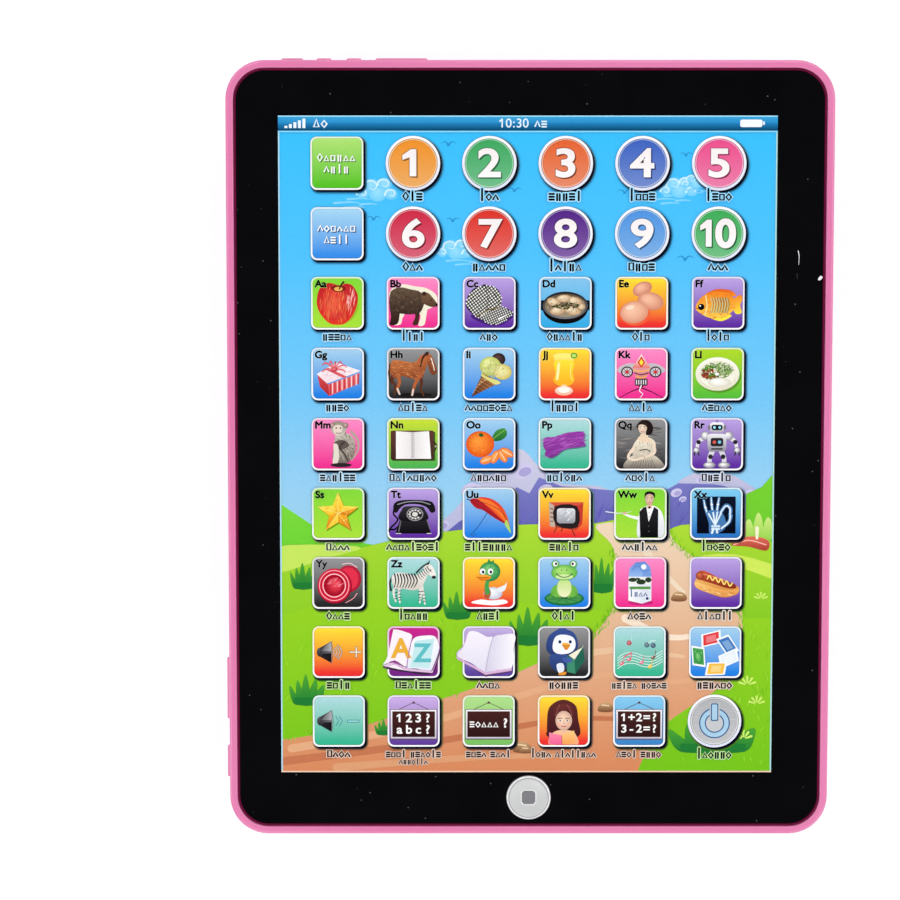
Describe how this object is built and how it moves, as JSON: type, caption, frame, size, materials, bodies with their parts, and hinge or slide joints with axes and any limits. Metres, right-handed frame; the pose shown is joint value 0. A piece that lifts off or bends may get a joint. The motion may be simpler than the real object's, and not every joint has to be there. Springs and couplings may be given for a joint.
{
  "type": "toy tablet",
  "caption": "Child's toy learning tablet with a pink case, a black-bordered picture panel of touch areas, one push button and a battery door.",
  "frame": {"origin": "on the surface that the tablet lies on, below the middle of the case", "axes": "+X to the right of the picture, +Y to its top edge, +Z out of the picture"},
  "size_m": [0.1874, 0.2406, 0.0245],
  "materials": {
    "pink_plastic": "glossy moulded pink plastic",
    "printed_sheet": "glossy black-bordered printed sheet",
    "silver_plastic": "satin silver moulded plastic",
    "clear_film": "translucent polyester film",
    "spacer_film": "white polyester film",
    "silicone": "grey silicone rubber",
    "circuit_board": "green lacquered board",
    "epoxy": "black potting resin",
    "steel": "zinc-plated steel",
    "spring_steel": "nickel-plated spring steel",
    "can_sleeve": "dark shrink sleeve",
    "dark_component": "black moulded component",
    "white_connector": "ivory nylon",
    "ferrite": "dark sintered ferrite",
    "cone_paper": "black pressed paper",
    "cell_can": "printed metal can",
    "foot_rubber": "soft pink-grey rubber",
    "red_insulation": "red insulation",
    "black_insulation": "black insulation",
    "white_insulation": "white insulation"
  },
  "bodies": {
    "case": {"front_frame": "pink_plastic", "screen_overlay": "printed_sheet", "membrane_top_film": "clear_film", "membrane_spacer": "spacer_film", "membrane_bottom_film": "clear_film", "button_dome": "silicone", "key_board": "circuit_board", "key_board_screws": "steel", "main_board": "circuit_board", "main_board_screws": "steel", "chip_cover": "epoxy", "electrolytic_capacitor": "can_sleeve", "amplifier_transistor": "dark_component", "surface_parts": "dark_component", "membrane_connector": "white_connector", "speaker_basket": "steel", "speaker_magnet": "ferrite", "speaker_cone": "cone_paper", "speaker_screws": "steel", "rear_cover": "pink_plastic", "case_screws": "steel", "rubber_foot_top_left": "foot_rubber", "rubber_foot_top_right": "foot_rubber", "rubber_foot_bottom_left": "foot_rubber", "rubber_foot_bottom_right": "foot_rubber", "battery_upper": "cell_can", "battery_middle": "cell_can", "battery_lower": "cell_can", "battery_contacts": "spring_steel", "battery_springs": "spring_steel", "battery_wire_red": "red_insulation", "battery_wire_black": "black_insulation", "speaker_wire_red": "red_insulation", "speaker_wire_black": "black_insulation", "key_wire_left": "white_insulation", "key_wire_right": "white_insulation"},
    "button": {"home_button": "silver_plastic"},
    "door": {"battery_door": "pink_plastic", "battery_door_screw": "steel"}
  },
  "joints": [
    {"name": "home_button_press", "type": "slide", "parent": "case", "child": "button", "axis": [0, 0, -1], "range_m": [0, 0.001], "stiffness_N_per_m": 600, "springref_m": -0.0005, "deforming": ["button_dome"]},
    {"name": "battery_door_swing", "type": "hinge", "parent": "case", "child": "door", "pos_m": [0, -0.0123, 0.0015], "axis": [1, 0, 0], "range_deg": [0, 60]}
  ]
}
